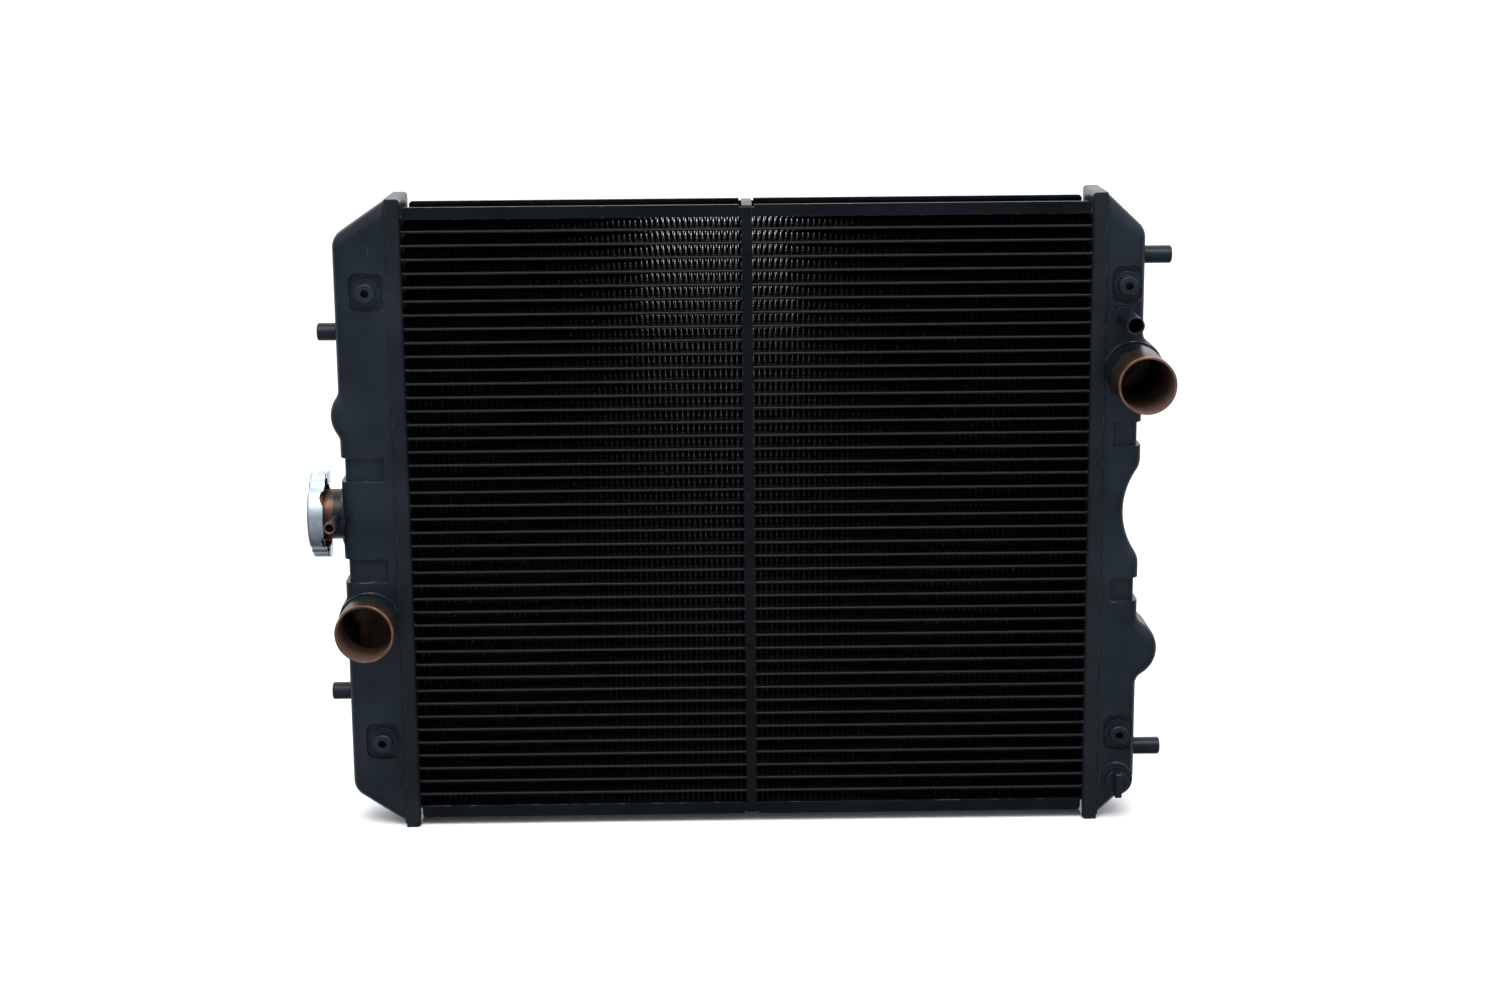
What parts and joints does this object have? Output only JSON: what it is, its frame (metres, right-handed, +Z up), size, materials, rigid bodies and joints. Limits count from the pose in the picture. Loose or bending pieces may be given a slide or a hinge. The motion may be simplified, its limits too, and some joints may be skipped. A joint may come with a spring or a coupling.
{
  "type": "car radiator",
  "caption": "Crossflow copper and brass car radiator with end tanks, hose stubs, pressure cap that turns and lifts, and a drain plug that unscrews.",
  "frame": {"origin": "bottom centre of the whole part's box, on the floor that the header plates stand on", "axes": "+X along the tubes from the filler tank to the drain tank, +Y through the core to its back (the hose stubs face -Y), +Z up"},
  "size_m": [0.536, 0.1022, 0.398],
  "materials": {
    "filler_tank": "satin black paint",
    "drain_tank": "satin black paint",
    "filler_header": "satin black paint",
    "drain_header": "satin black paint",
    "top_side_plate": "satin black paint",
    "bottom_side_plate": "satin black paint",
    "centre_strap": "satin black paint",
    "mounting_pin_filler_upper": "satin black paint",
    "mounting_pin_filler_lower": "satin black paint",
    "mounting_pin_drain_upper": "satin black paint",
    "mounting_pin_drain_lower": "satin black paint",
    "threaded_boss_filler_upper": "satin black paint",
    "threaded_boss_filler_lower": "satin black paint",
    "threaded_boss_drain_upper": "satin black paint",
    "threaded_boss_drain_lower": "satin black paint",
    "bypass_nipple": "satin black paint",
    "drain_boss": "satin black paint",
    "drain_plug": "satin black paint",
    "core_tubes": "thin matt black paint over brass",
    "core_fins": "thin matt black paint over copper",
    "inlet_stub": "satin black paint with a bare copper rim",
    "outlet_stub": "satin black paint with a bare copper rim",
    "filler_neck": "satin black paint, bare copper near the cap",
    "overflow_nipple": "satin black paint over brass",
    "cap_shell": "bright zinc plate",
    "cap_spring_disc": "spring steel",
    "cap_rivet": "bright zinc plate",
    "cap_bell": "plain brass",
    "cap_gasket": "black rubber",
    "pressure_spring": "spring steel",
    "pressure_plate": "plain brass",
    "pressure_seal": "black rubber",
    "vacuum_valve": "plain brass",
    "vacuum_spring": "spring steel",
    "drain_seal": "black rubber"
  },
  "bodies": {
    "radiator": {"core_tubes": "core_tubes", "core_fins": "core_fins", "top_side_plate": "top_side_plate", "bottom_side_plate": "bottom_side_plate", "centre_strap": "centre_strap", "filler_header": "filler_header", "drain_header": "drain_header", "filler_tank": "filler_tank", "drain_tank": "drain_tank", "inlet_stub": "inlet_stub", "outlet_stub": "outlet_stub", "bypass_nipple": "bypass_nipple", "drain_boss": "drain_boss", "filler_neck": "filler_neck", "overflow_nipple": "overflow_nipple", "mounting_pin_filler_upper": "mounting_pin_filler_upper", "mounting_pin_filler_lower": "mounting_pin_filler_lower", "mounting_pin_drain_upper": "mounting_pin_drain_upper", "mounting_pin_drain_lower": "mounting_pin_drain_lower", "threaded_boss_filler_upper": "threaded_boss_filler_upper", "threaded_boss_filler_lower": "threaded_boss_filler_lower", "threaded_boss_drain_upper": "threaded_boss_drain_upper", "threaded_boss_drain_lower": "threaded_boss_drain_lower"},
    "cap_core": {"cap_bell": "cap_bell", "cap_spring_disc": "cap_spring_disc", "cap_rivet": "cap_rivet", "cap_gasket": "cap_gasket", "pressure_spring": "pressure_spring"},
    "cap": {"cap_shell": "cap_shell"},
    "pressure_valve": {"pressure_plate": "pressure_plate", "pressure_seal": "pressure_seal", "vacuum_spring": "vacuum_spring"},
    "vacuum_valve": {"vacuum_valve": "vacuum_valve"},
    "drain_travelling_seal": {"drain_seal": "drain_seal"},
    "drain_plug": {"drain_plug": "drain_plug"}
  },
  "joints": [
    {"name": "cap_lift", "type": "slide", "parent": "radiator", "child": "cap_core", "axis": [-1, 0, 0], "range_m": [0, 0.04]},
    {"name": "cap_turn", "type": "hinge", "parent": "cap_core", "child": "cap", "pos_m": [-0.2657, 0.0261, 0.199], "axis": [1, 0, 0], "range_deg": [0, 90]},
    {"name": "pressure_relief", "type": "slide", "parent": "cap_core", "child": "pressure_valve", "axis": [-1, 0, 0], "range_m": [0, 0.003], "stiffness_N_per_m": 8000, "deforming": ["pressure_spring"]},
    {"name": "vacuum_relief", "type": "slide", "parent": "pressure_valve", "child": "vacuum_valve", "axis": [1, 0, 0], "range_m": [0, 0.0015], "stiffness_N_per_m": 100, "deforming": ["vacuum_spring"]},
    {"name": "drain_travel", "type": "slide", "parent": "radiator", "child": "drain_travelling_seal", "axis": [0, -1, 0], "range_m": [0, 0.0075]},
    {"name": "drain_turn", "type": "hinge", "parent": "drain_travelling_seal", "child": "drain_plug", "pos_m": [0.2368, -0.0026, 0.0264], "axis": [0, -1, 0], "range_deg": [0, 2160]}
  ],
  "couplings": [
    {"joint": "drain_travel", "follows": "drain_turn", "m_per_rad": 0.00019894}
  ]
}
